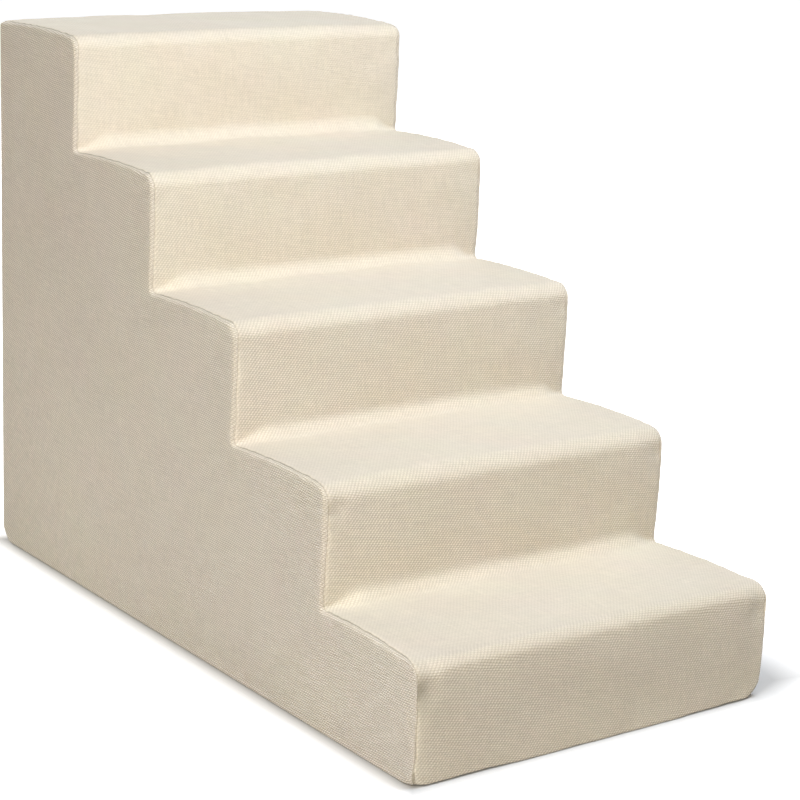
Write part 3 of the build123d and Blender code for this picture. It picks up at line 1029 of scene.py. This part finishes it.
# %% Nylon, metal, rubber, foam and the corner strips
def plain_material(name, colour, change, roughness, grain, bump, metallic=0.0, sheen=0.0, stretch=None):
    """A finish with a fine grain: noise in object coordinates shifts the colour and gives a bump.

    change is the share by which the colour shifts, grain the specks in a metre, and bump is in
    millimetres.
    """
    material, tree, shader = new_material(name, roughness, sheen=sheen, metallic=metallic)
    place = source(tree, "ShaderNodeTexCoord", "Object")
    specks = noise(place, grain, 3.0, 0.6, stretch)
    darker = [value * (1 - change) for value in colour]
    lighter = [min(value * (1 + change), 1.0) for value in colour]
    finish_material(shader, mix_colour(tree, specks, (*darker, 1), (*lighter, 1)), specks, bump * MM)
    return material


nylon_material = plain_material("cream nylon", (0.78, 0.70, 0.56), 0.06, 0.35, 900.0, 0.02)
metal_material = plain_material("nickel zinc", (0.62, 0.60, 0.57), 0.10, 0.32, 700.0, 0.02, metallic=1.0)
dot_material = plain_material("grip rubber", (0.42, 0.41, 0.39), 0.10, 0.55, 400.0, 0.05)
thread_material = plain_material(
    "sewing thread", (0.80, 0.72, 0.58), 0.12, 0.7, 1500.0, 0.10, sheen=0.1, stretch=(1.0, 1.0, 0.4)
)
foam_material = plain_material("white foam", (0.86, 0.84, 0.76), 0.10, 0.95, 420.0, 0.7)
hook_material = plain_material("hook strip", (0.74, 0.73, 0.70), 0.30, 0.5, 900.0, 0.6)
loop_material = plain_material("loop strip", (0.80, 0.79, 0.76), 0.15, 0.95, 700.0, 0.8, sheen=0.3)

# %% [markdown]
# ## What each piece stands for
# A piece rides on one of the three bodies, so that it moves with its joint, and replaces the solid
# that it was worked out from. Foam slabs, corner strips and stops that stay as the model has them
# only get a material.


# %% Dress every piece, and say what it stands for
def dress(piece, material):
    """Puts one material on a piece, in place of any that it has."""
    piece.data.materials.clear()
    piece.data.materials.append(material)


dressed = [
    (step_band, cover_material, "stairs", "cover_cloth", ["cover_step_band"]),
    (side_panel_left, side_painted_light_material, "stairs", "cover_cloth", ["cover_left_side"]),
    (side_panel_right, side_painted_light_material, "stairs", "cover_cloth", ["cover_right_side"]),
    (back_panel_left, cover_material, "stairs", "cover_cloth", ["cover_back_left"]),
    (back_panel_right, cover_material, "stairs", "cover_cloth", ["cover_back_right"]),
    (base_cloth, base_material, "stairs", "base_cloth", ["cover_base"]),
    (grip_dots, dot_material, "stairs", "base_cloth", []),
    (tape_left, tape_material, "stairs", "zip_tape", ["zip_tape_left"]),
    (tape_right, tape_material, "stairs", "zip_tape", ["zip_tape_right"]),
    (coil_left, nylon_material, "stairs", "zip_coil", ["zip_coil_left"]),
    (coil_right, nylon_material, "stairs", "zip_coil", ["zip_coil_right"]),
    (zip_stitches, thread_material, "stairs", "cover_cloth", []),
    (lowest_foam, foam_material, "stairs", "foam", ["foam_slab_1"]),
    (slider, metal_material, "slider", "zip_metal", ["zip_slider"]),
    (tab, metal_material, "pull_tab", "zip_metal", ["zip_pull_tab"]),
]
for piece, material, body, slot, nodes in dressed:
    dress(piece, material)
    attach(piece, body)
    if nodes:
        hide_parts(*nodes)

kept_nodes = {f"foam_slab_{step}": foam_material for step in range(2, step_count + 1)}
kept_nodes |= {f"corner_hook_strip_{step}": hook_material for step in range(1, step_count)}
kept_nodes |= {f"corner_loop_strip_{step}": loop_material for step in range(1, step_count)}
kept_nodes |= {"zip_upper_stop": nylon_material, "zip_lower_stops": nylon_material}
for node, material in kept_nodes.items():
    dress(frame["nodes"][node], material)
print(f"{len(dressed)} pieces dressed, and {len(kept_nodes)} solids kept")

# %% [markdown]
# ## Camera
# The camera stands where the photographer stood. Its direction, distance and lens were fitted to
# the corners of the steps in the photograph, together with the proportions of the stairs. A
# direction could be given as Euler angles, but a matrix of three axes needs no order of turns.

# %% Put the camera where the photographer stood
azimuth, elevation, roll = math.radians(-36.597), math.radians(14.840), math.radians(2.192)
distance = 2.371
target = np.array([0.054, 0.0, 0.218])
flat_way = np.array([math.sin(azimuth), -math.cos(azimuth), 0.0])
backward = flat_way * math.cos(elevation) + np.array([0.0, 0.0, math.sin(elevation)])
level = np.array([math.cos(azimuth), math.sin(azimuth), 0.0])
upward = np.cross(backward, level)
right = level * math.cos(roll) + upward * math.sin(roll)
up = -level * math.sin(roll) + upward * math.cos(roll)
lens = bpy.data.cameras.new("camera")
lens.sensor_width = 36
lens.lens = 104.905
lens.clip_start = 0.05
lens.clip_end = 100
camera = bpy.data.objects.new("camera", lens)
axes = np.stack([right, up, backward, target + backward * distance], -1)
camera.matrix_world = Matrix(np.concatenate([axes, [[0, 0, 0, 1]]]).tolist())
bpy.context.scene.collection.objects.link(camera)
bpy.context.scene.camera = camera
print("camera at", np.round(target + backward * distance, 3))

# %% [markdown]
# ## Floor and light
# The photograph has a white ground with a soft shadow close to the stairs, and the light falls from
# the upper left. The floor is a plane of pale paper. A stronger lamp could make it white, but would
# bleach the cloth too. So the camera sees it glow more, the further it lies from the stairs, up to
# white. Eight soft disks of light were balanced against the brightness of every tread, riser and
# side.


# %% Lay the floor
def pale_floor():
    """A plane of white paper whose glow, seen by the camera alone, grows with the distance.

    Each side of the stairs has its own share of the way from the shadow to the white paper. The
    glow is the largest of them.
    """
    reach = 30
    points = np.array([[-reach, -reach, 0], [reach, -reach, 0], [reach, reach, 0], [-reach, reach, 0]], float)
    piece = make_mesh("floor", points, [[0, 1, 2, 3]])
    material, tree, shader = new_material("pale floor", 1.0)
    feed_all(shader, Specular_IOR_Level=0.0, Base_Color=(0.56, 0.55, 0.54, 1))
    x, y, _ = parts_of(source(tree, "ShaderNodeTexCoord", "Object"))
    # On the left the shadow is a narrow band that follows the widened foot.
    forward = maths("MINIMUM", maths("SUBTRACT", back_y, y) / (back_y - front_y), 1.0)
    left = (x * -1.0 - forward * widening["left"] - (half_width - 3 * MM)) / (28 * MM)
    # On the right it is broad in front, and ends like a wedge towards the back.
    beyond = maths("MAXIMUM", x - half_width, 0.0)
    right = (beyond - 45 * MM) / (100 * MM)
    right_back = (y - (front_y + 26 * MM)) / (270 * MM) * maths("GREATER_THAN", beyond, 0.0)
    # In front it is narrow, and slants away to the right of the stairs.
    slant = beyond * 0.42 - y + (front_y + 5 * MM)
    ahead = slant / (maths("MINIMUM", beyond, 22 * MM) + 38 * MM)
    back = (y - (back_y - 3 * MM)) / (28 * MM)
    far = left
    for share in (right, right_back, ahead, back):
        far = maths("MAXIMUM", far, share)
    glow = maths("ADD", far, 0.0, clamp=True)
    seen = source(tree, "ShaderNodeLightPath", "Is Camera Ray")
    feed_all(shader, Emission_Color=(1, 1, 1, 1), Emission_Strength=glow * seen)
    dress(piece, material)


pale_floor()
world = bpy.data.worlds.new("studio")
world.use_nodes = True
seen = source(world.node_tree, "ShaderNodeLightPath", "Is Camera Ray")
faint, rest = 0.02, 0.98
feed_all(world.node_tree.nodes["Background"], Color=(1, 1, 1, 1), Strength=seen * rest + faint)
bpy.context.scene.world = world


# %% Hang the lights
def soft_light(name, place, size, power, colour, aim=(0, 0, 0.25)):
    """A round soft light that aims at the middle of the stairs, or at another place."""
    lamp = bpy.data.lights.new(name, "AREA")
    lamp.shape = "DISK"
    lamp.size = size
    lamp.energy = power
    lamp.color = colour
    holder = bpy.data.objects.new(name, lamp)
    holder.location = place
    holder.rotation_mode = "QUATERNION"
    holder.rotation_quaternion = (Vector(aim) - Vector(place)).to_track_quat("-Z", "Y")
    bpy.context.scene.collection.objects.link(holder)


lights = [
    ("large window", (-2.7, -2.7, 1.9), 3.6, 119.5, (1.0, 0.898, 0.717)),
    ("upper left", (-1.8, -0.9, 2.2), 1.4, 19.4, (0.800, 0.879, 1.0)),
    ("left of the front", (-2.2, -1.8, 1.2), 1.6, 3.8, (1.0, 0.996, 0.992)),
    ("above the front", (0.3, -0.7, 1.7), 0.8, 23.0, (0.801, 0.884, 1.0)),
    ("low left", (-1.0, -0.46, 0.07), 0.5, 2.75, (0.736, 0.823, 1.0), (-0.2, -0.3, 0.12)),
    ("low rear left", (-0.50, 0.24, 0.03), 0.24, 0.20, (0.86, 1.0, 0.93), (-0.2, 0.20, 0.03)),
    ("behind", (0, 3.6, 0.95), 1.7, 115.0, (1.0, 1.0, 1.0)),
    ("right side", (3.8, 0.8, 1.0), 1.7, 60.0, (1.0, 1.0, 1.0)),
]
for light in lights:
    soft_light(*light)
bpy.context.scene.view_settings.view_transform = "Standard"
print(len(lights), "soft lights")
